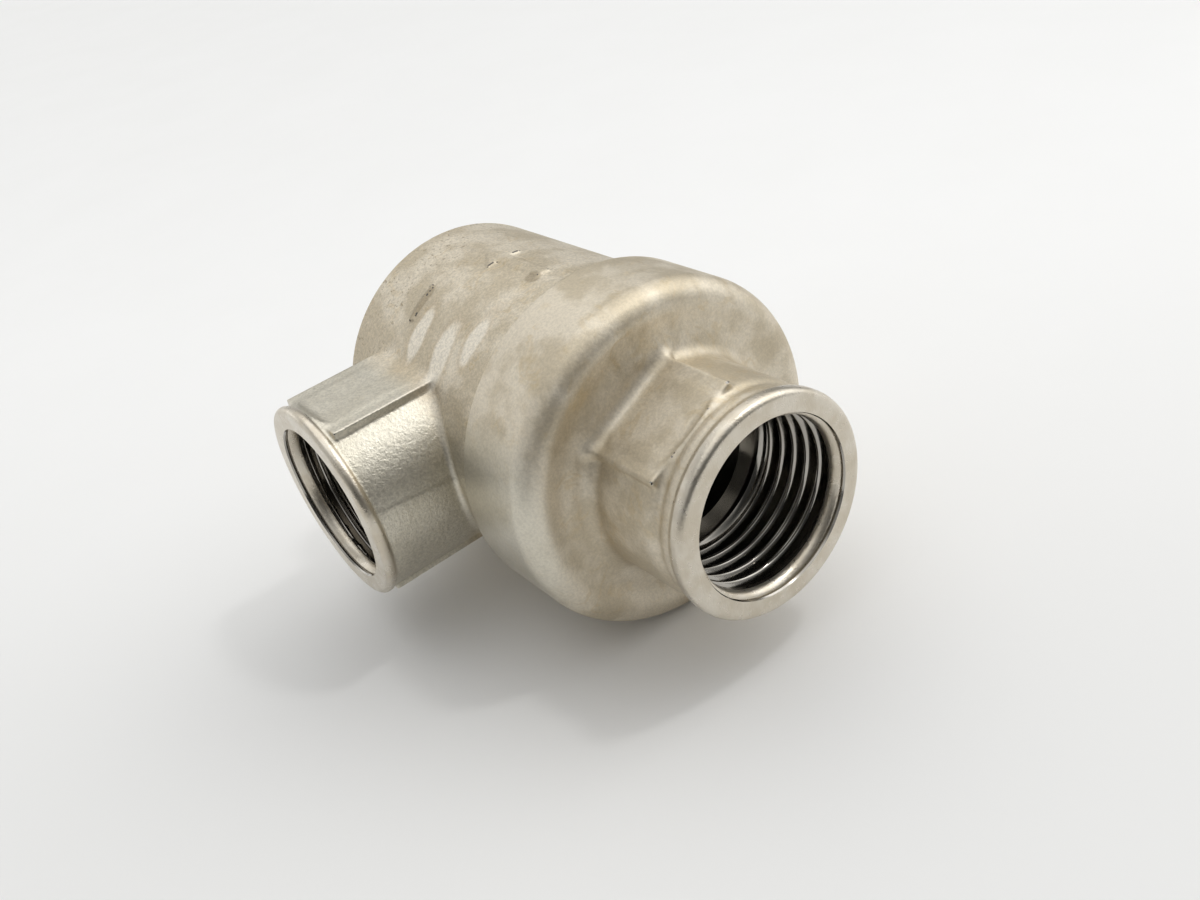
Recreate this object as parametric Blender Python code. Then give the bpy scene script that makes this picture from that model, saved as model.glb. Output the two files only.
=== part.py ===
"""Angle-pattern check valve with two female G 1/2 ports.

The main axis runs along X and the outlet port points along -Y.  Each piece is a
separate object.  Profiles are written in millimetres along and around the main
axis, measured from the point where the two port axes cross.
"""
import math

import bmesh
import bpy
from mathutils import Matrix, Vector

MM = 0.001

# Where the two port axes cross, so that the valve lies on the floor at Z = 0
AXES_CROSS = Vector((-14.775, 4.775, 19.75)) * MM

# Faceting
COARSE = 48
MEDIUM = 40
FINE = 24

# Body casting
BODY_R = 18.25
BODY_REAR_X = -13.45
BODY_SHOULDER_X = 16.3
BODY_NECK_R = 16.8
BODY_NECK_END_X = 26.1
SEAT_POCKET_R = 14.1
CHAMBER_R = 13.3
REAR_WALL_X = -10.2
GUIDE_BOSS_R = 5.6
GUIDE_BOSS_END_X = -2.4

# Cap casting
BULGE_R = 19.75
BULGE_REAR_X = 16.55
BULGE_FRONT_X = 28.6
BULGE_ROUND = 2.6
SKIRT_R = 17.1
NECK_R = 11.95
LIP_R = 12.2
INLET_FACE_X = 43.0
INLET_FLAT_TURN = math.radians(65.0)

# Outlet boss
BOSS_R = 11.9
BOSS_LIP_R = 12.2
OUTLET_FACE = 29.3
OUTLET_BORE_END = 16.0

# Threaded ports, G 1/2
THREAD_BORE_R = 9.32
PORT_MOUTH_R = 9.9
OUTLET_MOUTH_R = 9.7
PASSAGE_R = 8.2

# Spanner flats, 22 mm across
FLAT_HALF_WIDTH = 6.35
FLAT_HEIGHT = 11.0

# Moving set
STEM_R = 3.0
SPIGOT_R = 2.0
SPRING_R = 7.75
SPRING_WIRE_R = 0.55
SPRING_REAR_X = -9.1
SPRING_FRONT_X = 12.9
SPRING_TURNS = 8.0


def clear_scene():
    for old in list(bpy.data.objects):
        bpy.data.objects.remove(old, do_unlink=True)


def new_collection(name):
    collection = bpy.data.collections.new(name)
    bpy.context.scene.collection.children.link(collection)
    return collection


def make_material(name, colour, roughness, metallic):
    material = bpy.data.materials.new(name)
    material.use_nodes = True
    shader = material.node_tree.nodes["Principled BSDF"]
    shader.inputs["Base Color"].default_value = (*colour, 1.0)
    shader.inputs["Roughness"].default_value = roughness
    shader.inputs["Metallic"].default_value = metallic
    material.diffuse_color = (*colour, 1.0)
    return material


def finish_object(name, mesh_data, collection, material=None, smooth=True):
    """Write a bmesh into a named object whose origin is where the port axes cross."""
    bmesh.ops.remove_doubles(mesh_data, verts=mesh_data.verts, dist=1e-7)
    bmesh.ops.recalc_face_normals(mesh_data, faces=mesh_data.faces)
    mesh = bpy.data.meshes.new(name)
    mesh_data.to_mesh(mesh)
    mesh_data.free()
    if smooth:
        for face in mesh.polygons:
            face.use_smooth = True
        mesh.set_sharp_from_angle(angle=math.radians(28))
    if material:
        mesh.materials.append(material)
    item = bpy.data.objects.new(name, mesh)
    item.location = AXES_CROSS
    collection.objects.link(item)
    return item


def spin_profile(profile, segments, closed):
    """Turn (x, r) points round the X axis."""
    mesh_data = bmesh.new()
    points = [mesh_data.verts.new(Vector((x, 0.0, r)) * MM) for x, r in profile]
    pairs = list(zip(points[:-1], points[1:]))
    if closed:
        pairs.append((points[-1], points[0]))
    edges = [mesh_data.edges.new(pair) for pair in pairs]
    bmesh.ops.spin(
        mesh_data, geom=points + edges, cent=(0, 0, 0), axis=(1, 0, 0),
        angle=2.0 * math.pi, steps=segments, use_merge=False, use_duplicate=False)
    bmesh.ops.remove_doubles(mesh_data, verts=mesh_data.verts, dist=1e-7)
    bmesh.ops.dissolve_degenerate(mesh_data, edges=mesh_data.edges, dist=1e-7)
    return mesh_data


def turned(name, profile, segments, collection, material=None, along_outlet=False, solid=False):
    """A piece turned on the main axis, or on the outlet axis.

    A solid profile starts and ends on the axis; a ring's profile is a closed loop.
    """
    mesh_data = spin_profile(profile, segments, closed=not solid)
    if along_outlet:
        turn = Matrix.Rotation(math.radians(-90), 4, "Z")
        bmesh.ops.transform(mesh_data, matrix=turn, verts=mesh_data.verts)
    return finish_object(name, mesh_data, collection, material)


def block(name, centre, size, turn, collection, material=None):
    """A rectangular block, turned by a matrix after it is placed."""
    mesh_data = bmesh.new()
    bmesh.ops.create_cube(mesh_data, size=1.0)
    stretch = Matrix.Diagonal((*(Vector(size) * MM), 1.0))
    place = Matrix.Translation(Vector(centre) * MM)
    bmesh.ops.transform(mesh_data, matrix=turn @ place @ stretch, verts=mesh_data.verts)
    return finish_object(name, mesh_data, collection, material, smooth=False)


def prism(name, outline, low, high, turn, collection, material=None):
    """A flat outline (x, y) raised from low to high along Z, then turned."""
    mesh_data = bmesh.new()
    base = [mesh_data.verts.new(Vector((x, y, low)) * MM) for x, y in outline]
    face = mesh_data.faces.new(base)
    raised = bmesh.ops.extrude_face_region(mesh_data, geom=[face])
    lifted = [item for item in raised["geom"] if isinstance(item, bmesh.types.BMVert)]
    bmesh.ops.translate(mesh_data, vec=Vector((0, 0, high - low)) * MM, verts=lifted)
    bmesh.ops.transform(mesh_data, matrix=turn, verts=mesh_data.verts)
    return finish_object(name, mesh_data, collection, material, smooth=False)


def o_ring(name, centre_x, centre_r, wire_r, collection, material):
    profile = []
    for step in range(8):
        angle = 2.0 * math.pi * step / 8
        profile.append((centre_x + wire_r * math.cos(angle), centre_r + wire_r * math.sin(angle)))
    return turned(name, profile, MEDIUM, collection, material)


def flat_ring(name, x_low, x_high, r_in, r_out, segments, collection, material):
    profile = [(x_low, r_in), (x_high, r_in), (x_high, r_out), (x_low, r_out)]
    return turned(name, profile, segments, collection, material)


def boolean(target, tool, operation):
    modifier = target.modifiers.new(operation.title() + " " + tool.name, "BOOLEAN")
    modifier.operation = operation
    modifier.solver = "EXACT"
    modifier.object = tool
    tool.hide_render = True
    tool.display_type = "WIRE"


def arc(centre_x, centre_r, radius, start, end, steps):
    """Points on an arc in the (x, r) plane, angles in degrees from +X."""
    points = []
    for step in range(steps + 1):
        angle = math.radians(start + (end - start) * step / steps)
        points.append((centre_x + radius * math.cos(angle), centre_r + radius * math.sin(angle)))
    return points


def flat_cutters(port, start, end, turn, tools):
    """The two wedges that cut a port's neck down to its spanner flats."""
    outline = [
        (start, FLAT_HEIGHT), (end - 1.3, FLAT_HEIGHT), (end, FLAT_HEIGHT + 1.3),
        (end, FLAT_HEIGHT + 3.0), (start, FLAT_HEIGHT + 3.0)]
    upright = Matrix(((1, 0, 0, 0), (0, 0, 1, 0), (0, 1, 0, 0), (0, 0, 0, 1)))
    cutters = []
    for side in (0, 1):
        half_turn = Matrix.Rotation(math.pi * side, 4, "X")
        place = turn @ half_turn @ upright
        cutter = prism(port + " flat cutter " + str(side + 1), outline, -9.0, 9.0, place, tools)
        cutters.append(cutter)
    return cutters


def build_body(parts, tools, nickel):
    outer = [
        (BODY_REAR_X, 0.0),
        (BODY_REAR_X, BODY_R - 0.7),
        (BODY_REAR_X + 0.2, BODY_R - 0.2),
        (BODY_REAR_X + 0.7, BODY_R),
        (BODY_SHOULDER_X, BODY_R),
        (BODY_SHOULDER_X, BODY_NECK_R),
        (22.4, BODY_NECK_R),
        (22.4, 15.45),
        (25.05, 15.45),
        (25.05, BODY_NECK_R),
        (BODY_NECK_END_X - 0.3, BODY_NECK_R),
        (BODY_NECK_END_X, BODY_NECK_R - 0.3),
        (BODY_NECK_END_X, 0.0),
    ]
    body = turned("valve_body", outer, COARSE, parts, nickel, solid=True)

    boss_outline = [
        (8.0, 0.0),
        (8.0, BOSS_R),
        (27.9, BOSS_R),
        (28.2, BOSS_LIP_R),
        (OUTLET_FACE - 0.6, BOSS_LIP_R),
        (OUTLET_FACE - 0.18, BOSS_LIP_R - 0.18),
        (OUTLET_FACE, BOSS_LIP_R - 0.6),
        (OUTLET_FACE, 0.0),
    ]
    boss = turned("outlet boss", boss_outline, COARSE, tools, along_outlet=True, solid=True)
    towards_outlet = Matrix.Rotation(math.radians(-90), 4, "Z")
    for cutter in flat_cutters("outlet", 9.0, 27.6, towards_outlet, tools):
        boolean(boss, cutter, "DIFFERENCE")
    boolean(body, boss, "UNION")

    pad = block(
        "outlet flats", (18.2, 0.0, 0.0), (18.4, 2 * FLAT_HALF_WIDTH, 2 * FLAT_HEIGHT + 0.01),
        towards_outlet, tools)
    boolean(body, pad, "UNION")

    arrow_outline = [
        (-1.0, 0.0), (2.4, -2.3), (2.4, -0.85), (10.6, -0.85),
        (10.6, 0.85), (2.4, 0.85), (2.4, 2.3)]
    arrow = prism("flow arrow", arrow_outline, 17.0, BODY_R + 0.45, Matrix.Identity(4), tools)
    boolean(body, arrow, "UNION")

    cavity_outline = [
        (-12.0, 0.0),
        (-12.0, 4.2),
        (-4.0, 4.2),
        (-4.0, 4.95),
        (-3.1, 4.95),
        (-3.1, 4.2),
        (GUIDE_BOSS_END_X, 4.2),
        (GUIDE_BOSS_END_X, GUIDE_BOSS_R),
        (REAR_WALL_X, GUIDE_BOSS_R),
        (REAR_WALL_X, CHAMBER_R),
        (20.5, CHAMBER_R),
        (20.5, SEAT_POCKET_R),
        (BODY_NECK_END_X + 1.0, SEAT_POCKET_R),
        (BODY_NECK_END_X + 1.0, 0.0),
    ]
    cavity = turned("chamber", cavity_outline, MEDIUM, tools, solid=True)
    boolean(body, cavity, "DIFFERENCE")

    bore_outline = [
        (10.0, 0.0),
        (10.0, PASSAGE_R),
        (OUTLET_BORE_END, PASSAGE_R),
        (OUTLET_BORE_END, THREAD_BORE_R),
        (OUTLET_FACE - 0.4, THREAD_BORE_R),
        (OUTLET_FACE, OUTLET_MOUTH_R),
        (OUTLET_FACE + 0.5, OUTLET_MOUTH_R + 0.5),
        (OUTLET_FACE + 0.5, 0.0),
    ]
    bore = turned("outlet bore", bore_outline, MEDIUM, tools, along_outlet=True, solid=True)
    boolean(body, bore, "DIFFERENCE")
    return body


def build_cap(parts, tools, nickel):
    outer = [
        (17.4, 0.0),
        (17.4, 16.0),
        (BULGE_REAR_X, SKIRT_R),
        (BULGE_REAR_X, BULGE_R - 0.6),
        (BULGE_REAR_X + 0.6, BULGE_R),
    ]
    outer += arc(BULGE_FRONT_X - BULGE_ROUND, BULGE_R - BULGE_ROUND, BULGE_ROUND, 90, 0, 4)
    outer += [
        (BULGE_FRONT_X - 0.4, 14.4),
        (BULGE_FRONT_X, 12.9),
        (BULGE_FRONT_X + 0.9, NECK_R),
        (40.75, NECK_R),
        (41.15, LIP_R),
        (INLET_FACE_X - 0.8, LIP_R),
        (INLET_FACE_X - 0.23, LIP_R - 0.23),
        (INLET_FACE_X, LIP_R - 0.8),
        (INLET_FACE_X, 0.0),
    ]
    cap = turned("inlet_cap", outer, COARSE, parts, nickel, solid=True)

    turn = Matrix.Rotation(math.pi / 2 - INLET_FLAT_TURN, 4, "X")
    for cutter in flat_cutters("inlet", 29.2, 38.4, turn, tools):
        boolean(cap, cutter, "DIFFERENCE")
    pad = block(
        "inlet flats", (33.1, 0.0, 0.0), (10.4, 2 * FLAT_HALF_WIDTH, 2 * FLAT_HEIGHT + 0.01),
        turn, tools)
    boolean(cap, pad, "UNION")

    bore_outline = [
        (15.5, 0.0),
        (15.5, SKIRT_R),
        (26.4, SKIRT_R),
        (26.4, PASSAGE_R),
        (29.1, PASSAGE_R),
        (29.1, THREAD_BORE_R),
        (INLET_FACE_X - 0.6, THREAD_BORE_R),
        (INLET_FACE_X, PORT_MOUTH_R),
        (INLET_FACE_X + 0.5, PORT_MOUTH_R + 0.5),
        (INLET_FACE_X + 0.5, 0.0),
    ]
    bore = turned("inlet bore", bore_outline, MEDIUM, tools, solid=True)
    boolean(cap, bore, "DIFFERENCE")
    return cap


def build_seat(parts, steel, rubber, plastic):
    o_ring("cap_seal", 24.12, 16.26, 0.74, parts, rubber)
    flat_ring("cap_backup_ring", 22.55, 23.2, 15.6, 16.9, MEDIUM, parts, plastic)
    flat_ring("seat_gasket", 25.65, 26.3, 9.6, 13.9, MEDIUM, parts, plastic)
    seat_profile = [
        (20.7, 7.5),
        (19.7, 8.1),
        (19.7, 9.4),
        (20.8, 10.0),
        (20.8, 13.8),
        (22.1, 13.8),
        (22.1, 12.3),
        (24.1, 12.3),
        (24.1, 13.8),
        (25.55, 13.8),
        (25.55, 7.9),
        (25.15, 7.5),
    ]
    turned("seat_ring", seat_profile, MEDIUM, parts, steel)
    o_ring("seat_ring_seal", 23.1, 13.16, 0.76, parts, rubber)


def build_guide(parts, steel, plastic):
    flat_ring("guide_bush", -11.8, -4.15, 3.06, 4.14, FINE, parts, plastic)
    mesh_data = bmesh.new()
    inner = []
    outer = []
    for step in range(19):
        angle = math.radians(20 + 320 * step / 18)
        inner.append((3.5 * math.cos(angle), 3.5 * math.sin(angle)))
        outer.append((4.8 * math.cos(angle), 4.8 * math.sin(angle)))
    outline = inner + outer[::-1]
    base = [mesh_data.verts.new(Vector((-3.9, y, z)) * MM) for y, z in outline]
    face = mesh_data.faces.new(base)
    raised = bmesh.ops.extrude_face_region(mesh_data, geom=[face])
    lifted = [item for item in raised["geom"] if isinstance(item, bmesh.types.BMVert)]
    bmesh.ops.translate(mesh_data, vec=Vector((0.7, 0, 0)) * MM, verts=lifted)
    finish_object("bush_retaining_ring", mesh_data, parts, steel)

    sleeve_profile = [
        (-10.1, 5.75),
        (8.3, 5.75),
        (8.3, 6.75),
        (-9.2, 6.75),
        (-9.2, 9.2),
        (-10.1, 9.2),
    ]
    turned("lift_stop_sleeve", sleeve_profile, FINE, parts, steel)


def hexagon(across_flats, x_low, x_high, bore_r, name, parts, material):
    """A hexagon nut on the main axis."""
    mesh_data = bmesh.new()
    corner_r = across_flats / math.sqrt(3.0)
    rings = []
    for x, radius in ((x_low, corner_r), (x_high, corner_r), (x_high, bore_r), (x_low, bore_r)):
        ring = []
        for step in range(6):
            angle = 2.0 * math.pi * step / 6
            point = Vector((x, radius * math.cos(angle), radius * math.sin(angle))) * MM
            ring.append(mesh_data.verts.new(point))
        rings.append(ring)
    for ring, following in zip(rings, rings[1:] + rings[:1]):
        for step in range(6):
            after = (step + 1) % 6
            mesh_data.faces.new((ring[step], ring[after], following[after], following[step]))
    return finish_object(name, mesh_data, parts, material, smooth=False)


def build_poppet(parts, tools, steel, rubber):
    stem_profile = [
        (-6.6, 0.0),
        (-6.6, STEM_R - 0.4),
        (-6.2, STEM_R),
        (12.5, STEM_R),
        (12.5, 4.6),
        (13.4, 4.6),
        (13.4, SPIGOT_R),
        (30.6, SPIGOT_R),
        (30.9, SPIGOT_R - 0.3),
        (30.9, 0.0),
    ]
    turned("poppet_stem", stem_profile, FINE, parts, steel, solid=True)

    cup_profile = [
        (13.0, 4.75),
        (13.35, 4.75),
        (13.35, 8.9),
        (11.1, 8.9),
        (11.1, 8.5),
        (13.0, 8.5),
    ]
    turned("spring_cup", cup_profile, FINE, parts, steel)

    disc_profile = [
        (13.45, 2.1),
        (15.5, 2.1),
        (15.5, 3.9),
        (16.7, 3.9),
        (16.7, 11.0),
        (16.3, 11.4),
        (14.9, 11.4),
        (13.45, 9.4),
    ]
    turned("poppet_disc", disc_profile, MEDIUM, parts, steel)
    o_ring("stem_seal", 16.12, 2.95, 0.56, parts, rubber)
    flat_ring("poppet_seal", 16.75, 19.6, 2.1, 10.6, MEDIUM, parts, rubber)
    flat_ring("seal_clamp_washer", 19.65, 20.5, 2.1, 6.8, FINE, parts, steel)

    hub = flat_ring("wing_guide", 20.55, 26.9, 2.1, 3.6, FINE, parts, steel)
    for turn_count in range(3):
        turn = Matrix.Rotation(2.0 * math.pi * turn_count / 3, 4, "X")
        wing = block(
            "wing " + str(turn_count + 1), (23.725, 0.0, 5.28), (6.35, 1.4, 4.2), turn, tools)
        boolean(hub, wing, "UNION")

    flat_ring("nut_lock_washer", 26.95, 27.8, 2.1, 3.5, FINE, parts, steel)
    hexagon(7.0, 27.85, 30.2, 2.4, "seal_nut", parts, steel)


def build_spring(parts, steel):
    """A compression coil with closed end turns."""
    rear = SPRING_REAR_X + SPRING_WIRE_R
    front = SPRING_FRONT_X - SPRING_WIRE_R
    steps_per_turn = 18
    count = int(SPRING_TURNS * steps_per_turn)
    closed_turn = 2.4 * SPRING_WIRE_R
    open_length = (front - rear) - 2 * closed_turn
    points = []
    for step in range(count + 1):
        turns = step / steps_per_turn
        if turns < 1.0:
            x = rear + closed_turn * turns
        elif turns > SPRING_TURNS - 1.0:
            x = front - closed_turn * (SPRING_TURNS - turns)
        else:
            x = rear + closed_turn + open_length * (turns - 1.0) / (SPRING_TURNS - 2.0)
        angle = 2.0 * math.pi * turns
        points.append((x, SPRING_R * math.cos(angle), SPRING_R * math.sin(angle)))
    curve = bpy.data.curves.new("return_spring", "CURVE")
    curve.dimensions = "3D"
    curve.bevel_depth = SPRING_WIRE_R * MM
    curve.bevel_resolution = 2
    curve.use_fill_caps = True
    spline = curve.splines.new("POLY")
    spline.points.add(len(points) - 1)
    for point, place in zip(spline.points, points):
        point.co = (*(Vector(place) * MM), 1.0)
    curve.materials.append(steel)
    spring = bpy.data.objects.new("return_spring", curve)
    spring.location = AXES_CROSS
    parts.objects.link(spring)


def main():
    clear_scene()
    parts = new_collection("angle check valve")
    tools = new_collection("shaping tools")
    nickel = make_material("blasted nickel casting", (0.60, 0.56, 0.48), 0.42, 0.85)
    steel = make_material("turned stainless steel", (0.66, 0.65, 0.63), 0.28, 1.0)
    rubber = make_material("black nitrile rubber", (0.03, 0.03, 0.03), 0.75, 0.0)
    plastic = make_material("white bearing plastic", (0.86, 0.85, 0.80), 0.5, 0.0)
    spring_steel = make_material("spring wire", (0.52, 0.51, 0.50), 0.3, 1.0)
    build_body(parts, tools, nickel)
    build_cap(parts, tools, nickel)
    build_seat(parts, steel, rubber, plastic)
    build_guide(parts, steel, plastic)
    build_poppet(parts, tools, steel, rubber)
    build_spring(parts, spring_steel)
    for tool in tools.objects:
        tool.hide_render = True
        tool.display_type = "WIRE"


main()
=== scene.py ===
"""Looks of the angle-pattern check valve.

The two castings become fine meshes drawn from distance fields, with rounded cast
corners, and are then cut by exact turned and threaded tools.  The spring becomes a
coil, and the other inner pieces keep their CAD shapes.  Lengths in this script are
millimetres from the point where the two port axes cross, with X along the main axis
towards the inlet, unless a name says otherwise.
"""
import math

import bmesh
import bpy
import numpy as np
from mathutils import Matrix, Vector


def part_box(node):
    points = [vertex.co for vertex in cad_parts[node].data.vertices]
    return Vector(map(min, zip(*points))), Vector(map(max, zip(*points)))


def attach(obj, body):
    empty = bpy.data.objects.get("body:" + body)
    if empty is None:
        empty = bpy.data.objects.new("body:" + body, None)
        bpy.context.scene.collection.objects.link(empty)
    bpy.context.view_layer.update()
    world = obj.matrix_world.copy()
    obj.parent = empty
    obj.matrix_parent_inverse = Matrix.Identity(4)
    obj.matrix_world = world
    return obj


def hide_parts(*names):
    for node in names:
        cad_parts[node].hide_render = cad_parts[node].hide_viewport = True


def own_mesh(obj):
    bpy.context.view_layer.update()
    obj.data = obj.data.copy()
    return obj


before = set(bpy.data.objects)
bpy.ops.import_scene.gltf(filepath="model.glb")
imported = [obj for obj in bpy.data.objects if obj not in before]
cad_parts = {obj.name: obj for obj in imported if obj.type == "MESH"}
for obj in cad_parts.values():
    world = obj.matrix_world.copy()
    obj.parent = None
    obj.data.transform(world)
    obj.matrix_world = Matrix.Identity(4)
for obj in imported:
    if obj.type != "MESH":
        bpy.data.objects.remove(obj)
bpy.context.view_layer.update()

MM = 0.001

# Castings
GRID = 0.22  # cell of the distance fields
BODY_REAR_X = -13.45
BODY_R = 18.25
BODY_SHOULDER_X = 16.3
BODY_NECK_R = 16.8
BODY_NECK_END_X = 26.1
BULGE_REAR_X = 16.55
BULGE_FRONT_X = 28.6
BULGE_R = 19.75
SKIRT_R = 17.1
PORT_R = 11.9
OUTLET_FACE = 29.3
OUTLET_LIP_START = 27.9
OUTLET_LIP_R = 12.2
INLET_FACE_X = 43.0
INLET_LIP_START_X = 40.9
INLET_LIP_R = 12.2
INLET_RIM_START_X = 41.0
FLAT_HEIGHT = 11.0
FLAT_HALF_WIDTH = 6.35
INLET_FLAT_TURN = math.radians(65.0)

# Fillets and rounded edges of the port necks
NECK_EDGE = 0.2
FLAT_EDGE = 0.15
FLAT_RUN_OUT_FILLET = 0.5
PAD_FILLET = 0.25

# G 1/2 parallel pipe thread
PITCH = 1.814
THREAD_MAJOR_R = 10.4775
THREAD_MINOR_R = 9.3155
THREAD_HALF_ANGLE = math.radians(27.5)
THREAD_ROUND = 0.137329 * PITCH

# Ports: bores and, as distances behind the face, the plain land and its outer end
CREST_R = 9.33
PASSAGE_R = 8.2
INLET_MOUTH_R = 9.9
OUTLET_MOUTH_R = 9.7
LAND = 1.7
LAND_END = 0.52

# Steps round a turned tool
CHAMBER_STEPS = 192
PORT_STEPS = 256

# Kinds of surface on a casting, in the order of its material slots
CAST, RIM, THREAD, BORED = range(4)
CAST_REACH = 0.03
SHARP_ANGLE = math.radians(24)

# Marks on the casting: centre and reach along each axis
PALE_PATCHES = (
    ((6.0, -13.0, 13.0), (1.5, 4.0, 4.0)),
    ((0.2, -12.2, 13.6), (1.3, 3.6, 3.0)),
    ((10.5, -10.5, 15.0), (1.2, 3.6, 2.4)))
DARK_STAINS = (
    ((9.6, -25.6, -3.6), (3.0, 1.9, 2.6)),
    ((-2.7, -9.1, 15.6), (0.75, 2.6, 2.0)),
    ((10.2, -1.2, 18.4), (1.1, 0.9, 0.8)))

# Camera, from the photograph's perspective
CAMERA_AT = Vector((112.8, -56.86, 67.73))
CAMERA_AIM = Vector((7.61, 2.75, -8.37))
CAMERA_ROLL = math.radians(15.18)
LENS = 34.15
SENSOR = 36.0

# Room light: strength of the walls and of the ceiling, which lies the way that the
# photographed table faces, and the direction of a darker gap in the ceiling
ROOM = 0.04
CEILING = 1.3
CEILING_UP = Vector((0.057, 0.259, 0.964)).normalized()
CEILING_GAP = (0.72, 0.10, 0.68)

# Soft windows: direction, narrowness and strength
WINDOWS = (
    ((0.33, 0.78, 0.52), 10.0, 1.4),
    ((0.20, 0.97, -0.10), 12.0, 1.0),
    ((-0.78, 0.28, 0.55), 9.0, 0.55),
    ((-0.92, -0.30, 0.24), 14.0, 1.2),
    ((-0.62, -0.74, 0.26), 12.0, 0.45),
    ((-0.05, -0.85, 0.52), 10.0, 0.6))

body_low, body_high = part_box("valve_body")
cap_low, cap_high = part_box("inlet_cap")
CROSS = Vector((
    body_low.x - BODY_REAR_X * MM,
    body_low.y + OUTLET_FACE * MM,
    (cap_low.z + cap_high.z) / 2))


# ---------------------------------------------------------------- distance fields

def round_union(a, b, radius):
    """Joins two shapes with a concave fillet."""
    inward = np.hypot(np.maximum(radius - a, 0), np.maximum(radius - b, 0))
    return np.maximum(radius, np.minimum(a, b)) - inward


def round_overlap(a, b, radius):
    """Keeps what two shapes share, with a convex rounded edge."""
    outward = np.hypot(np.maximum(radius + a, 0), np.maximum(radius + b, 0))
    return np.minimum(-radius, np.maximum(a, b)) + outward


def cylinder(along, radial, start, end, radius, edge):
    """A round bar between start and end, with its edges rounded."""
    q_radial = radial - (radius - edge)
    q_along = np.abs(along - (start + end) / 2) - ((end - start) / 2 - edge)
    outside = np.hypot(np.maximum(q_radial, 0), np.maximum(q_along, 0))
    return np.minimum(np.maximum(q_radial, q_along), 0) + outside - edge


def box(across, upward, along, half_width, half_height, start, end, edge):
    """A square bar between start and end, with its edges rounded."""
    q = (
        np.abs(across) - (half_width - edge),
        np.abs(upward) - (half_height - edge),
        np.abs(along - (start + end) / 2) - ((end - start) / 2 - edge))
    outside = np.sqrt(sum(np.maximum(side, 0) ** 2 for side in q))
    return np.minimum(np.maximum(np.maximum(q[0], q[1]), q[2]), 0) + outside - edge


def smooth_step(value, low, high):
    """0 below low, 1 above high, with an even slope between them."""
    share = np.clip((value - low) / (high - low), 0, 1)
    return share * share * (3 - 2 * share)


def port_neck(along, across, upward, radius, start, end, pads_end, run_out, edge):
    """A round neck cut down to two opposite spanner flats with square-cornered pads."""
    neck = cylinder(along, np.hypot(across, upward), start, end, radius, NECK_EDGE)
    height = np.abs(upward)
    ramp = (along - run_out - (height - FLAT_HEIGHT)) * math.sqrt(0.5)
    keep = round_union(height - FLAT_HEIGHT, -ramp, FLAT_RUN_OUT_FILLET)
    neck = round_overlap(neck, keep, FLAT_EDGE)
    pads = box(across, upward, along, FLAT_HALF_WIDTH, FLAT_HEIGHT, start, pads_end, edge)
    return round_union(neck, pads, PAD_FILLET)


def arrow_mark(x, y, radial):
    """A raised arrow on the crown that points to the closed end."""
    tip_x, head_end_x, head_length, head_half_width = -1.0, 2.4, 3.4, 2.3
    shaft_x, shaft_half_length, shaft_half_width = 6.3, 4.3, 0.8
    top, edge = 0.2, 0.14
    half = np.abs(y)
    flank = half * head_length - (x - tip_x) * head_half_width
    head = np.maximum(flank / np.hypot(head_half_width, head_length), x - head_end_x)
    shaft = np.maximum(half - shaft_half_width, np.abs(x - shaft_x) - shaft_half_length)
    outline = np.minimum(head, shaft)
    return round_overlap(outline, radial - (BODY_R + top), edge)


def casting_scar(x, y, z):
    """A short welt left on the crown of the casting, beside the outlet boss."""
    start = np.array((-2.6, -11.1, 14.4))
    run = np.array((-0.5, 4.0, 2.35))
    radius, taper = 0.42, 0.4
    share = (x - start[0]) * run[0] + (y - start[1]) * run[1] + (z - start[2]) * run[2]
    share = np.clip(share / (run @ run), 0, 1)
    away = [value - start[i] - share * run[i] for i, value in enumerate((x, y, z))]
    distance = np.sqrt(away[0] ** 2 + away[1] ** 2 + away[2] ** 2)
    return distance - radius * (1 - taper * share)


def body_casting(x, y, z):
    """The body before it is machined: barrel, arrow, side boss, scar and front neck."""
    radial = np.hypot(y, z)
    barrel = cylinder(x, radial, BODY_REAR_X, BODY_SHOULDER_X, BODY_R, 0.6)
    crown_z = 10.0
    crown = np.maximum(arrow_mark(x, y, radial), crown_z - z)
    barrel = round_union(barrel, crown, 0.35)
    out = -y
    parting_z = 1.4 + (out - 14.0) * 0.11
    parting_step = 0.08 * smooth_step(parting_z - z, -0.3, 0.2)
    boss = port_neck(
        out, x, z, PORT_R - 0.05 + parting_step,
        start=6.0, end=28.6, pads_end=27.45, run_out=26.9, edge=0.14)
    lip = cylinder(out, np.hypot(x, z), OUTLET_LIP_START, OUTLET_FACE, OUTLET_LIP_R, 0.62)
    boss = round_union(boss, lip, 0.12)
    whole = round_union(barrel, boss, 0.7)
    whole = np.minimum(whole, casting_scar(x, y, z))
    neck_start_x = 10.0
    neck = cylinder(x, radial, neck_start_x, BODY_NECK_END_X, BODY_NECK_R, 0.3)
    return np.minimum(whole, neck)


def swell(value, middle, width, height):
    """A bell-shaped rise of the given height round a middle value."""
    return height * np.exp(-((value - middle) / width) ** 2)


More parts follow.
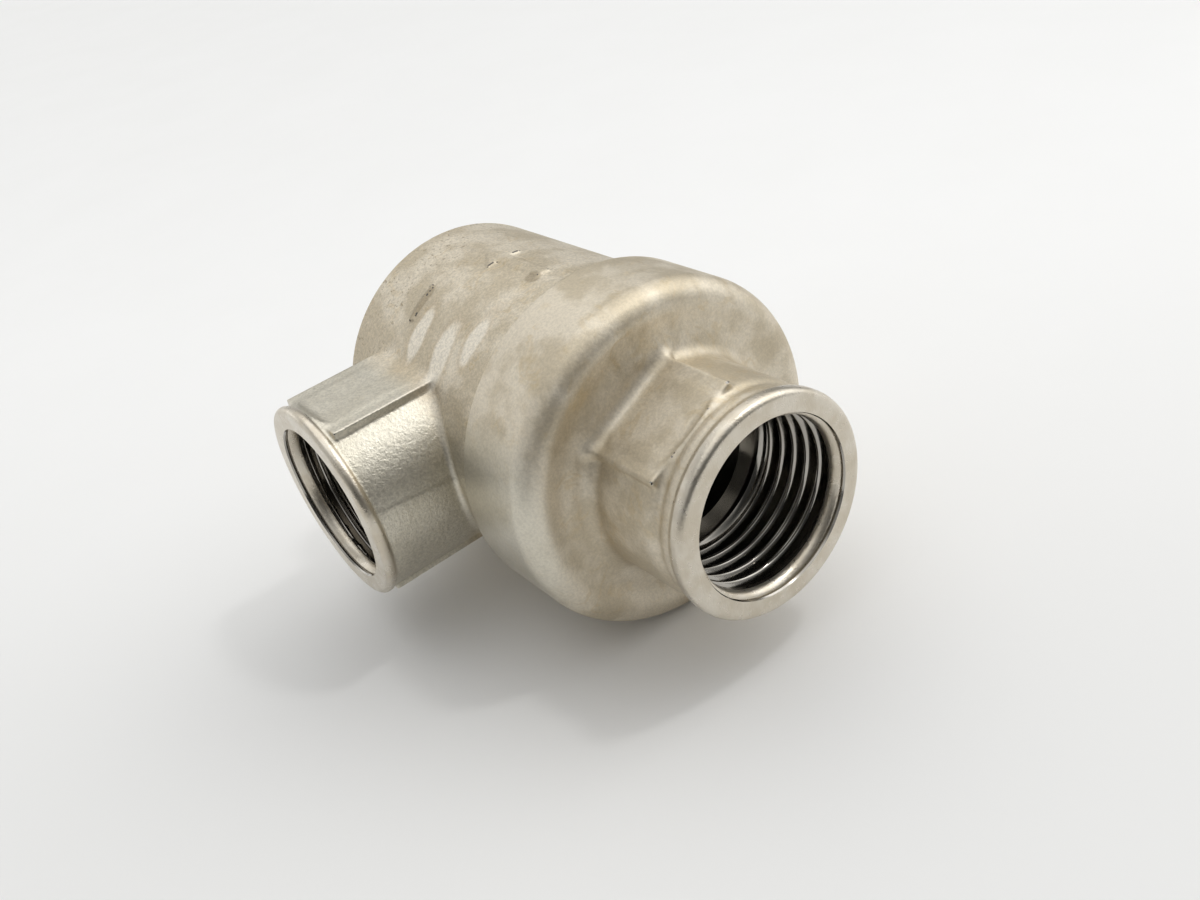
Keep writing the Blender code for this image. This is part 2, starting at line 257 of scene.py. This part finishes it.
def cap_casting(x, y, z):
    """The cap before it is machined: a round skirt, dished in front, and the inlet's neck."""
    radial = np.hypot(y, z)
    bulge_middle_x = 22.0
    dish = swell(radial, 15.2, 1.7, 0.4) * (x > bulge_middle_x)
    bulge = cylinder(x + dish, radial, 10.0, BULGE_FRONT_X, BULGE_R, 2.8)
    bulge = round_overlap(bulge, BULGE_REAR_X - x, 0.5)
    turn = INLET_FLAT_TURN
    upward = z * math.sin(turn) - y * math.cos(turn)
    across = z * math.cos(turn) + y * math.sin(turn)
    waist = swell(x, 39.0, 0.75, 0.38)
    neck = port_neck(
        x, across, upward, PORT_R - waist,
        start=20.0, end=41.6, pads_end=38.3, run_out=38.2, edge=0.35)
    lip = cylinder(x, radial, INLET_LIP_START_X, INLET_FACE_X, INLET_LIP_R, 0.8)
    neck = round_union(neck, lip, 0.25)
    return round_union(bulge, neck, 1.5)


# ---------------------------------------------------------------- meshes

def slope_of(field, points):
    """The field's gradient at the points."""
    reach = 0.02
    columns = []
    for axis in range(3):
        ahead = points.copy()
        behind = points.copy()
        ahead[:, axis] += reach
        behind[:, axis] -= reach
        columns.append((field(*ahead.T) - field(*behind.T)) / (2 * reach))
    return np.stack(columns, 1)


def pull_to_surface(field, points):
    """Moves each point along the gradient to where the field is zero, by a cell at most."""
    gradient = slope_of(field, points)
    steepness = np.maximum((gradient ** 2).sum(1), 0.25)
    move = np.clip(field(*points.T) / steepness, -GRID, GRID)
    return points - move[:, None] * gradient


def even_out(points, quads):
    """Moves each point halfway to the middle of its neighbours."""
    starts = quads.ravel()
    ends = np.roll(quads, -1, 1).ravel()
    total = np.zeros_like(points)
    for axis in range(3):
        total[:, axis] = np.bincount(starts, points[ends, axis], len(points))
        total[:, axis] += np.bincount(ends, points[starts, axis], len(points))
    count = np.bincount(starts, minlength=len(points)) + np.bincount(ends, minlength=len(points))
    return (points + total / count[:, None]) / 2


def surface_net(field, low, high):
    """A closed quad mesh where the field is zero, with one point in each cell it crosses."""
    axes = [np.arange(a - 2.3 * GRID, b + 2.5 * GRID, GRID) for a, b in zip(low, high)]
    values = field(*np.meshgrid(*axes, indexing="ij"))
    inside = values < 0
    cells = np.array(inside.shape) - 1
    corners = [np.array((i, j, k)) for i in (0, 1) for j in (0, 1) for k in (0, 1)]
    filled = np.zeros(cells, np.int8)
    for i, j, k in corners:
        filled += inside[i:i + cells[0], j:j + cells[1], k:k + cells[2]]
    crossed = (filled > 0) & (filled < len(corners))
    number = np.full(cells, -1)
    number[crossed] = np.arange(crossed.sum())
    cell = np.argwhere(crossed)
    total = np.zeros((len(cell), 3))
    count = np.zeros(len(cell))
    for first in corners:
        for second in corners:
            if (second - first).sum() != 1 or (second < first).any():
                continue
            a = values[tuple((cell + first).T)]
            b = values[tuple((cell + second).T)]
            hit = (a < 0) != (b < 0)
            share = a[hit] / (a[hit] - b[hit])
            total[hit] += first + share[:, None] * (second - first)
            count[hit] += 1
    points = (cell + total / count[:, None]) * GRID + np.array([axis[0] for axis in axes])

    quads = []
    unit = np.eye(3, dtype=int)
    for axis in range(3):
        before = np.take(inside, range(inside.shape[axis] - 1), axis)
        after = np.take(inside, range(1, inside.shape[axis]), axis)
        edge = np.argwhere(before != after)
        u, v = unit[(axis + 1) % 3], unit[(axis + 2) % 3]
        ring = [number[tuple((edge - shift).T)] for shift in (u + v, v, 0 * u, u)]
        quad = np.stack(ring, 1)
        leaving = before[tuple(edge.T)]
        quad[~leaving] = quad[~leaving][:, ::-1]
        quads.append(quad)
    quads = np.concatenate(quads)

    for _ in range(3):
        points = pull_to_surface(field, even_out(points, quads))
    for _ in range(2):
        points = pull_to_surface(field, points)
    return points, quads


def mesh_object(name, points, quads):
    """A mesh object in the row frame, from points in millimetres."""
    mesh = bpy.data.meshes.new(name)
    mesh.vertices.add(len(points))
    placed = points * MM + np.array(CROSS)
    mesh.vertices.foreach_set("co", placed.astype(np.float32).ravel())
    mesh.loops.add(quads.size)
    mesh.polygons.add(len(quads))
    mesh.polygons.foreach_set("loop_start", np.arange(0, quads.size, 4, dtype=np.int32))
    mesh.loops.foreach_set("vertex_index", quads.astype(np.int32).ravel())
    mesh.update(calc_edges=True)
    mesh.validate()
    made = bpy.data.objects.new(name, mesh)
    bpy.context.scene.collection.objects.link(made)
    return made


def turned(name, profile, steps, along_outlet=False, ring=False):
    """Turns a profile of (along, radius) points round a port axis; a ring's profile is closed."""
    weld = 1e-4
    shape = bmesh.new()
    points = [shape.verts.new((along, 0.0, radius)) for along, radius in profile]
    pairs = list(zip(points[:-1], points[1:]))
    if ring:
        pairs.append((points[-1], points[0]))
    edges = [shape.edges.new(pair) for pair in pairs]
    bmesh.ops.spin(
        shape, geom=points + edges, cent=(0, 0, 0), axis=(1, 0, 0),
        angle=2 * math.pi, steps=steps, use_merge=False, use_duplicate=False)
    bmesh.ops.remove_doubles(shape, verts=shape.verts, dist=weld)
    bmesh.ops.dissolve_degenerate(shape, edges=shape.edges, dist=weld)
    bmesh.ops.recalc_face_normals(shape, faces=shape.faces)
    return finish_shape(name, shape, along_outlet)


def finish_shape(name, shape, along_outlet=False):
    """Writes a bmesh in millimetres into an object in the row frame."""
    turn = Matrix.Rotation(math.radians(-90 if along_outlet else 0), 4, "Z")
    place = Matrix.Translation(CROSS) @ Matrix.Scale(MM, 4) @ turn
    bmesh.ops.transform(shape, matrix=place, verts=shape.verts)
    mesh = bpy.data.meshes.new(name)
    shape.to_mesh(mesh)
    shape.free()
    made = bpy.data.objects.new(name, mesh)
    bpy.context.scene.collection.objects.link(made)
    return made


def thread_radius(offset):
    """Radius of the 55 degree thread form at an offset along the axis from a root."""
    offset = abs((offset + PITCH / 2) % PITCH - PITCH / 2)
    rest = PITCH / 2 - offset
    tip = THREAD_ROUND * math.cos(THREAD_HALF_ANGLE)
    if offset < tip:
        return THREAD_MAJOR_R - THREAD_ROUND + math.sqrt(THREAD_ROUND ** 2 - offset ** 2)
    if offset > PITCH / 2 - tip:
        return THREAD_MINOR_R + THREAD_ROUND - math.sqrt(THREAD_ROUND ** 2 - rest ** 2)
    middle = (THREAD_MAJOR_R + THREAD_MINOR_R) / 2
    return middle - (offset - PITCH / 4) / math.tan(THREAD_HALF_ANGLE)


def thread_tool(name, start, end, along_outlet=False):
    """The screw that a tap leaves, as a closed solid whose rows follow the helix.

    The thread starts after 1.2 turns, is at full depth a turn later and fades in the last
    quarter turn.
    """
    around = 144
    rows_per_pitch = 24
    core_r = CREST_R - 0.1
    rows = int((end - start) / PITCH * rows_per_pitch)
    last = rows / rows_per_pitch
    shape = bmesh.new()
    grid = []
    for row in range(rows + 1):
        line = []
        form = thread_radius(PITCH * row / rows_per_pitch)
        for step in range(around):
            turns = row / rows_per_pitch + step / around
            share = min(1.0, max(0.0, turns - 1.2), max(0.0, (last - turns) * 4))
            radius = core_r * (1 - share) + form * share
            angle = 2 * math.pi * step / around
            spot = (start + PITCH * turns, radius * math.cos(angle), radius * math.sin(angle))
            line.append(shape.verts.new(spot))
        grid.append(line)
    for row in range(rows):
        for step in range(around - 1):
            shape.faces.new((
                grid[row][step], grid[row][step + 1],
                grid[row + 1][step + 1], grid[row + 1][step]))
    for row in range(rows - rows_per_pitch):
        shape.faces.new((
            grid[row][-1], grid[row + rows_per_pitch][0],
            grid[row + rows_per_pitch + 1][0], grid[row + 1][-1]))
    step_down = [grid[row][0] for row in range(rows_per_pitch, -1, -1)]
    step_up = [grid[row][-1] for row in range(rows, rows - rows_per_pitch - 1, -1)]
    for loop, middle in ((grid[0] + step_down, start), (grid[-1] + step_up + [grid[-1][0]], end)):
        hub = shape.verts.new((middle, 0, 0))
        for first, second in zip(loop, loop[1:]):
            if first is not second:
                shape.faces.new((hub, first, second))
    bmesh.ops.recalc_face_normals(shape, faces=shape.faces)
    return finish_shape(name, shape, along_outlet)


def evaluated_mesh(source):
    """A new mesh of the object as its curve or modifiers make it."""
    graph = bpy.context.evaluated_depsgraph_get()
    return bpy.data.meshes.new_from_object(source.evaluated_get(graph))


def cut(target, tool):
    """Takes the tool's volume out of the target and removes the tool."""
    modifier = target.modifiers.new("cut", "BOOLEAN")
    modifier.operation = "DIFFERENCE"
    modifier.solver = "MANIFOLD"
    modifier.object = tool
    target.data = evaluated_mesh(target)
    target.modifiers.clear()
    bpy.data.objects.remove(tool, do_unlink=True)


def face_kinds(piece, field, port_axis, face, rim_start, thread_start):
    """The kind of surface of each face, from the uncut casting and the place along the port."""
    mesh = piece.data
    centres = np.zeros(len(mesh.polygons) * 3, np.float32)
    mesh.polygons.foreach_get("center", centres)
    centres = (centres.reshape(-1, 3).astype(float) - np.array(CROSS)) / MM
    along = centres @ np.array(port_axis)
    cast = np.abs(field(*centres.T)) < CAST_REACH
    kinds = np.where(cast, CAST, BORED)
    kinds[cast & (along > rim_start)] = RIM
    kinds[~cast & (along > thread_start)] = THREAD
    kinds[~cast & (along > face - LAND) & (along < face - LAND_END)] = RIM
    return kinds


def shade(piece, kinds, materials):
    """Gives each face its material and marks the machined edges as sharp."""
    mesh = piece.data
    mesh.materials.clear()
    for material in materials:
        mesh.materials.append(material)
    mesh.polygons.foreach_set("material_index", kinds.astype(np.int32))
    mesh.polygons.foreach_set("use_smooth", np.ones(len(kinds), bool))
    shape = bmesh.new()
    shape.from_mesh(mesh)
    for edge in shape.edges:
        machined = any(face.material_index in (THREAD, BORED) for face in edge.link_faces)
        if machined and edge.calc_face_angle() > SHARP_ANGLE:
            edge.smooth = False
    shape.to_mesh(mesh)
    shape.free()


# ---------------------------------------------------------------- castings

def port_mouth(face, radius):
    """The turned mouth of a port: a plain land, a narrow groove and a small chamfer."""
    return [
        (face - LAND, CREST_R), (face - 0.55, CREST_R + 0.2), (face - 0.5, radius + 0.15),
        (face - 0.25, radius + 0.15), (face - 0.2, radius - 0.1), (face, radius),
        (face + 0.5, radius + 0.5), (face + 0.5, 0)]


def build_body(materials):
    """The body casting with its chamber, seal groove and threaded outlet."""
    low = (BODY_REAR_X, -OUTLET_FACE, -BODY_R)
    high = (BODY_NECK_END_X, BODY_R, BODY_R + 0.4)
    body = mesh_object("body_casting", *surface_net(body_casting, low, high))
    guide_bore_and_ring_groove = [
        (-12.0, 0), (-12.0, 4.2), (-4.0, 4.2), (-4.0, 4.95), (-3.1, 4.95), (-3.1, 4.2),
        (-2.4, 4.2)]
    round_the_guide_boss = [(-2.4, 5.6), (-10.2, 5.6), (-10.2, 13.3)]
    spring_room_and_seat_step = [(20.5, 13.3), (20.5, 14.1), (27.1, 14.1), (27.1, 0)]
    chamber = guide_bore_and_ring_groove + round_the_guide_boss + spring_room_and_seat_step
    groove = [(22.4, 15.45), (25.05, 15.45), (25.05, 17.5), (22.4, 17.5)]
    port = [(10.0, 0), (10.0, PASSAGE_R), (16.0, PASSAGE_R), (16.0, CREST_R)]
    port += port_mouth(OUTLET_FACE, OUTLET_MOUTH_R)
    cut(body, turned("chamber", chamber, CHAMBER_STEPS))
    cut(body, turned("seal groove", groove, CHAMBER_STEPS, ring=True))
    cut(body, turned("outlet bore", port, PORT_STEPS, along_outlet=True))
    cut(body, thread_tool("outlet thread", 15.0, OUTLET_FACE - LAND, along_outlet=True))
    kinds = face_kinds(
        body, body_casting, (0, -1, 0), OUTLET_FACE,
        rim_start=OUTLET_LIP_START, thread_start=15.9)
    shade(body, kinds, materials)
    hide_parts("valve_body")
    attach(body, "valve_housing")


def build_cap(materials):
    """The cap casting with its skirt bored out and its threaded inlet."""
    low = (BULGE_REAR_X, -BULGE_R, -BULGE_R)
    high = (INLET_FACE_X, BULGE_R, BULGE_R)
    cap = mesh_object("cap_casting", *surface_net(cap_casting, low, high))
    port = [
        (15.5, 0), (15.5, SKIRT_R), (26.4, SKIRT_R), (26.4, PASSAGE_R), (29.1, PASSAGE_R),
        (29.1, CREST_R)]
    port += port_mouth(INLET_FACE_X, INLET_MOUTH_R)
    cut(cap, turned("inlet bore", port, PORT_STEPS))
    cut(cap, thread_tool("inlet thread", 28.0, INLET_FACE_X - LAND))
    kinds = face_kinds(
        cap, cap_casting, (1, 0, 0), INLET_FACE_X,
        rim_start=INLET_RIM_START_X, thread_start=28.9)
    shade(cap, kinds, materials)
    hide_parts("inlet_cap")
    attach(cap, "valve_housing")


def build_spring(material):
    """The coil spring behind the poppet, with closed end turns.

    Lengths here are metres in the row frame.
    """
    low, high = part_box("return_spring")
    turns = 8
    steps = 64 * turns
    wire = 0.55 * MM
    closed = 2.4 * wire
    coil_r = (high.y - low.y) / 2 - wire
    rear = low.x + wire
    length = high.x - low.x - 2 * wire
    curve = bpy.data.curves.new("return_spring_coil", "CURVE")
    curve.dimensions = "3D"
    curve.bevel_depth = wire
    curve.bevel_resolution = 4
    curve.use_fill_caps = True
    spline = curve.splines.new("POLY")
    spline.points.add(steps)
    for step, point in enumerate(spline.points):
        turn = turns * step / steps
        along = closed * min(turn, 1) + closed * max(0, turn - turns + 1)
        along += (length - 2 * closed) * min(1, max(0, (turn - 1) / (turns - 2)))
        angle = 2 * math.pi * turn
        y = CROSS.y + coil_r * math.cos(angle)
        z = CROSS.z + coil_r * math.sin(angle)
        point.co = (rear + along, y, z, 1)
    drawn = bpy.data.objects.new("coil", curve)
    bpy.context.scene.collection.objects.link(drawn)
    mesh = evaluated_mesh(drawn)
    bpy.data.objects.remove(drawn, do_unlink=True)
    mesh.materials.clear()
    mesh.materials.append(material)
    mesh.polygons.foreach_set("use_smooth", np.ones(len(mesh.polygons), bool))
    coil = bpy.data.objects.new("return_spring_coil", mesh)
    bpy.context.scene.collection.objects.link(coil)
    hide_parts("return_spring")
    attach(coil, "valve_housing")
    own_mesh(coil)


# ---------------------------------------------------------------- materials

class Surface:
    """One procedural material, with its texture space in millimetres."""

    def __init__(self, name, metallic=1.0):
        self.material = bpy.data.materials.new(name)
        self.material.use_nodes = True
        self.tree = self.material.node_tree
        self.shader = self.tree.nodes["Principled BSDF"]
        self.shader.inputs["Metallic"].default_value = metallic
        spot = self.tree.nodes.new("ShaderNodeTexCoord").outputs["Object"]
        self.place = self.vector("MULTIPLY_ADD", spot, (1 / MM,) * 3, tuple(-CROSS / MM))
        parts = self.node("ShaderNodeSeparateXYZ", Vector=self.place)
        self.x, self.y, self.z = parts.outputs

    def node(self, kind, settings=(), **inputs):
        made = self.tree.nodes.new(kind)
        for key, value in dict(settings).items():
            setattr(made, key, value)
        for key, value in inputs.items():
            self.feed(made.inputs[key.replace("_", " ")], value)
        return made

    def feed(self, socket, value):
        if isinstance(value, bpy.types.NodeSocket):
            self.tree.links.new(value, socket)
        else:
            socket.default_value = value

    def vector(self, operation, *values):
        made = self.node("ShaderNodeVectorMath", {"operation": operation})
        for socket, value in zip(made.inputs, values):
            self.feed(socket, value)
        return made.outputs["Value" if operation in ("LENGTH", "DOT_PRODUCT") else "Vector"]

    def math(self, operation, *values, clamp=False):
        made = self.node("ShaderNodeMath", {"operation": operation, "use_clamp": clamp})
        for socket, value in zip(made.inputs, values):
            self.feed(socket, value)
        return made.outputs[0]

    def noise(self, per_mm, detail=2.0, roughness=0.5, distortion=0.0, at=None):
        made = self.node(
            "ShaderNodeTexNoise", Vector=at or self.place, Scale=per_mm, Detail=detail,
            Roughness=roughness, Distortion=distortion)
        return made.outputs[0]

    def rise(self, value, low, high, to_low=0.0, to_high=1.0):
        """A smooth step of the value between low and high."""
        made = self.node(
            "ShaderNodeMapRange", {"interpolation_type": "SMOOTHSTEP"}, Value=value,
            From_Min=low, From_Max=high, To_Min=to_low, To_Max=to_high)
        return made.outputs[0]

    def blend(self, share, first, second, kind="MIX"):
        """The first colour where the share is 0 and the second where it is 1."""
        made = self.node("ShaderNodeMix", {"data_type": "RGBA", "blend_type": kind})
        colours = [socket for socket in made.inputs if socket.type == "RGBA"]
        self.feed(made.inputs[0], share)
        for socket, value in zip(colours, (first, second)):
            self.feed(socket, (*value, 1.0) if isinstance(value, tuple) else value)
        return made.outputs[2]

    def paint(self, colour, mask, strength, over):
        """Lays a second colour over the first where the mask is high."""
        return self.blend(self.math("MULTIPLY", mask, strength), colour, over)

    def spot_mask(self, centre, reach):
        """1 inside an uneven ellipsoid round a point of the surface."""
        wobble, soft = 0.35, 0.25
        offset = self.vector("SUBTRACT", self.place, centre)
        scaled = self.vector("DIVIDE", offset, reach)
        uneven = self.math("MULTIPLY_ADD", self.noise(0.45, 3.0), 2 * wobble, -wobble)
        distance = self.math("ADD", self.vector("LENGTH", scaled), uneven)
        return self.rise(distance, 1.0 + soft, 1.0 - soft)

    def bump(self, height, distance_mm, strength=1.0, base=None):
        made = self.node(
            "ShaderNodeBump", Height=height, Distance=distance_mm * MM, Strength=strength)
        if base:
            self.feed(made.inputs["Normal"], base)
        return made.outputs[0]

    def finish(self, colour, roughness, normal=None):
        self.feed(self.shader.inputs["Base Color"], colour)
        self.feed(self.shader.inputs["Roughness"], roughness)
        if normal:
            self.feed(self.shader.inputs["Normal"], normal)
        return self.material


def cast_nickel():
    """Shot-blasted nickel plate: fine grain, uneven warm stains and pale rubbed patches.

    The rear of the barrel is pitted, the outlet boss is greyer and smoother, and the cap
    has a finer grain than the body.
    """
    s = Surface("blasted_nickel", metallic=0.9)
    blotch = s.noise(0.13, 4.0, 0.6)
    stain = s.noise(0.22, 3.0, 0.55, 0.8)
    grain = s.noise(3.2, 4.0, 0.7)
    peen = s.noise(1.7, 2.0, 0.5)
    colour = s.blend(s.rise(blotch, 0.42, 0.60), (0.72, 0.655, 0.54), (0.575, 0.505, 0.385))
    ring = s.rise(s.math("ABSOLUTE", s.math("SUBTRACT", stain, 0.53)), 0.05, 0.0)
    ring = s.math("MULTIPLY", ring, s.rise(s.noise(0.3, 2.0), 0.45, 0.65, 0.0, 0.35))
    colour = s.blend(ring, colour, (0.58, 0.46, 0.27))
    for centre, reach in PALE_PATCHES:
        edge = s.spot_mask(centre, tuple(1.35 * value for value in reach))
        colour = s.paint(colour, edge, 0.45, (0.56, 0.47, 0.34))
        colour = s.paint(colour, s.spot_mask(centre, reach), 0.85, (0.84, 0.79, 0.69))
    for centre, reach in DARK_STAINS:
        colour = s.paint(colour, s.spot_mask(centre, reach), 0.7, (0.36, 0.30, 0.21))
    rear = s.rise(s.x, 2.0, -9.0)
    pits = s.rise(s.noise(2.1, 3.0, 0.6), 0.42, 0.34)
    pitted = s.math("MULTIPLY", rear, s.rise(s.noise(0.2, 2.0), 0.3, 0.6))
    pits = s.math("MULTIPLY", pits, pitted)
    colour = s.paint(colour, pits, 0.8, (0.34, 0.27, 0.18))
    boss = s.rise(s.y, -15.5, -19.0)
    colour = s.paint(colour, boss, 0.7, (0.64, 0.615, 0.53))
    tone = s.blend(s.rise(grain, 0.32, 0.68), (0.84,) * 3, (1.12,) * 3)
    cap = s.rise(s.x, 15.5, 17.5)
    colour = s.blend(s.math("MULTIPLY_ADD", cap, -0.4, 1.0), colour, tone, "MULTIPLY")
    rough = s.math("MULTIPLY_ADD", grain, 0.16, s.rise(boss, 0.0, 1.0, 0.42, 0.25))
    height = s.math("MULTIPLY_ADD", peen, 0.6, grain)
    height = s.math("MULTIPLY", height, s.math("MULTIPLY_ADD", cap, -0.5, 1.0))
    height = s.math("MULTIPLY_ADD", pits, -0.8, height)
    return s.finish(colour, rough, s.bump(height, 0.07, 0.9))


def satin_lip():
    """Machined port rim, plated and lightly blasted."""
    s = Surface("satin_rim", metallic=0.9)
    marks = s.noise(0.9, 3.0, 0.6, at=s.vector("MULTIPLY", s.place, (3.0, 3.0, 1.0)))
    blotch = s.rise(s.noise(0.35, 3.0), 0.35, 0.65)
    colour = s.blend(blotch, (0.68, 0.63, 0.54), (0.60, 0.54, 0.44))
    rough = s.math("MULTIPLY_ADD", s.noise(1.4, 3.0), 0.2, 0.2)
    height = s.math("ADD", marks, s.noise(4.0, 2.0))
    return s.finish(colour, rough, s.bump(height, 0.03, 0.8))


def bright_thread_painted_shade():
    """Cut and plated thread, nearly mirror bright, with painted shade: its colour is darker than
    plated metal to stand in for the shade inside the ports.
    """
    s = Surface("cut_thread_painted_shade")
    # Painted shade: the dark colours make the thread read as lying in shade.
    colour = s.blend(s.noise(0.6, 3.0), (0.47, 0.45, 0.41), (0.35, 0.33, 0.30))
    rough = s.math("MULTIPLY_ADD", s.noise(2.0, 3.0), 0.12, 0.07)
    return s.finish(colour, rough, s.bump(s.noise(6.0, 2.0), 0.006, 0.5))


def bored_metal_painted_shade():
    """Turned walls inside the castings, dull, with painted shade: the colour is nearly black to
    stand in for the shade deep inside the ports.
    """
    s = Surface("bored_nickel_painted_shade")
    # Painted shade: these near-black colours darken the bores as if little light reached them.
    colour = s.blend(s.noise(0.7, 3.0), (0.15, 0.14, 0.125), (0.11, 0.10, 0.09))
    rough = s.math("MULTIPLY_ADD", s.noise(3.0, 2.0), 0.1, 0.4)
    return s.finish(colour, rough, s.bump(s.noise(2.5, 2.0), 0.004, 0.5))


def steel(name, colour, rough):
    """Bright steel with fine marks round the main axis."""
    s = Surface(name)
    tint = s.blend(s.noise(0.8, 3.0), colour, tuple(0.82 * c for c in colour))
    marks = s.noise(1.5, 2.0, at=s.vector("MULTIPLY", s.place, (8.0, 1.0, 1.0)))
    roughness = s.math("MULTIPLY_ADD", marks, 0.15, rough)
    return s.finish(tint, roughness, s.bump(marks, 0.01, 0.4))


def rubber():
    s = Surface("nitrile_rubber", metallic=0.0)
    tint = s.blend(s.noise(1.2, 3.0), (0.018, 0.018, 0.019), (0.035, 0.034, 0.033))
    rough = s.math("MULTIPLY_ADD", s.noise(4.0), 0.2, 0.5)
    return s.finish(tint, rough, s.bump(s.noise(9.0), 0.01, 0.5))


def plastic():
    s = Surface("bearing_plastic", metallic=0.0)
    tint = s.blend(s.noise(0.6, 3.0), (0.80, 0.78, 0.72), (0.70, 0.67, 0.60))
    rough = s.math("MULTIPLY_ADD", s.noise(3.0), 0.2, 0.35)
    return s.finish(tint, rough, s.bump(s.noise(6.0), 0.01, 0.4))


# ---------------------------------------------------------------- stage

def build_floor():
    """The pale table, with painted shade: darker on the camera's side, as if less light fell
    there.
    """
    bpy.ops.mesh.primitive_grid_add(x_subdivisions=8, y_subdivisions=8, size=6.0)
    floor = bpy.context.object
    floor.name = "table"
    s = Surface("pale_table", metallic=0.0)
    tint = s.blend(s.noise(0.03, 4.0, 0.6), (0.91, 0.91, 0.91), (0.88, 0.88, 0.875))
    # Painted shade: the table is darkened towards the camera.
    painted_shade_near_camera = s.rise(s.vector("DOT_PRODUCT", s.place, (0.72, -0.69, 0.0)), -90.0, 90.0)
    tint = s.blend(painted_shade_near_camera, tint, (0.79, 0.79, 0.785))
    s.shader.inputs["Specular IOR Level"].default_value = 0.15
    floor.data.materials.append(s.finish(tint, 0.7, s.bump(s.noise(0.4, 4.0), 0.05, 0.2)))


def add_lamp(name, direction, distance, size, power):
    """A round area lamp that faces the valve; distance and size in metres."""
    data = bpy.data.lights.new(name, "AREA")
    data.shape = "DISK"
    data.size = size
    data.energy = power
    lamp = bpy.data.objects.new(name, data)
    way = Vector(direction).normalized()
    lamp.location = CROSS + way * distance
    lamp.rotation_mode = "QUATERNION"
    lamp.rotation_quaternion = way.to_track_quat("Z", "Y")
    bpy.context.scene.collection.objects.link(lamp)


def build_world():
    """A dim room lit by a bright ceiling with a gap in it and by soft windows."""
    world = bpy.data.worlds.new("studio")
    world.use_nodes = True
    tree = world.node_tree
    spot = tree.nodes.new("ShaderNodeTexCoord").outputs["Generated"]

    def facing(direction):
        made = tree.nodes.new("ShaderNodeVectorMath")
        made.operation = "DOT_PRODUCT"
        tree.links.new(spot, made.inputs[0])
        made.inputs[1].default_value = Vector(direction).normalized()
        return made.outputs["Value"]

    def calculate(operation, *values):
        made = tree.nodes.new("ShaderNodeMath")
        made.operation = operation
        for socket, value in zip(made.inputs, values):
            if isinstance(value, bpy.types.NodeSocket):
                tree.links.new(value, socket)
            else:
                socket.default_value = value
        return made.outputs[0]

    def glow(direction, narrowness, strength):
        fall = calculate("MULTIPLY_ADD", facing(direction), narrowness, -narrowness)
        return calculate("MULTIPLY", calculate("EXPONENT", fall), strength)

    ceiling = tree.nodes.new("ShaderNodeMapRange")
    ceiling.interpolation_type = "SMOOTHSTEP"
    tree.links.new(facing(CEILING_UP), ceiling.inputs["Value"])
    for key, value in (("From Min", 0.45), ("From Max", 0.88), ("To Max", CEILING)):
        ceiling.inputs[key].default_value = value
    beside_gap = calculate("SUBTRACT", 1.0, glow(CEILING_GAP, 10.0, 0.9))
    strength = calculate("MULTIPLY_ADD", ceiling.outputs[0], beside_gap, ROOM)
    for direction, narrowness, brightness in WINDOWS:
        strength = calculate("ADD", strength, glow(direction, narrowness, brightness))
    background = tree.nodes["Background"]
    background.inputs["Color"].default_value = (1.0, 1.0, 0.99, 1.0)
    tree.links.new(strength, background.inputs["Strength"])
    bpy.context.scene.world = world


def build_camera():
    """The photograph's camera, rolled by as much as the real valve leans on its boss."""
    data = bpy.data.cameras.new("camera")
    data.lens = LENS
    data.sensor_width = SENSOR
    data.clip_start = 0.005
    camera = bpy.data.objects.new("camera", data)
    bpy.context.scene.collection.objects.link(camera)
    way = (CAMERA_AIM - CAMERA_AT).normalized()
    camera.rotation_mode = "QUATERNION"
    turn = Matrix.Rotation(CAMERA_ROLL, 3, way)
    camera.rotation_quaternion = (turn @ way.to_track_quat("-Z", "Y").to_matrix()).to_quaternion()
    camera.location = CROSS + CAMERA_AT * MM
    bpy.context.scene.camera = camera


def finish_inner_pieces():
    """Gives the pieces that keep their CAD shape their rubber, plastic or steel."""
    bright_steel = steel("turned_stainless", (0.52, 0.51, 0.48), 0.24)
    finishes = dict.fromkeys(("cap_seal", "seat_ring_seal", "stem_seal", "poppet_seal"), rubber())
    finishes.update(dict.fromkeys(("cap_backup_ring", "seat_gasket", "guide_bush"), plastic()))
    for name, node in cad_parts.items():
        node.data.materials.clear()
        node.data.materials.append(finishes.get(name, bright_steel))


def main():
    casting = [cast_nickel(), satin_lip(), bright_thread_painted_shade(), bored_metal_painted_shade()]
    build_body(casting)
    build_cap(casting)
    build_spring(steel("spring_wire", (0.50, 0.49, 0.47), 0.22))
    finish_inner_pieces()
    build_floor()
    build_world()
    add_lamp("small lamp", (0.35, 0.38, 0.86), 0.5, 0.05, 0.25)
    build_camera()
    bpy.context.scene.view_settings.view_transform = "Standard"


main()
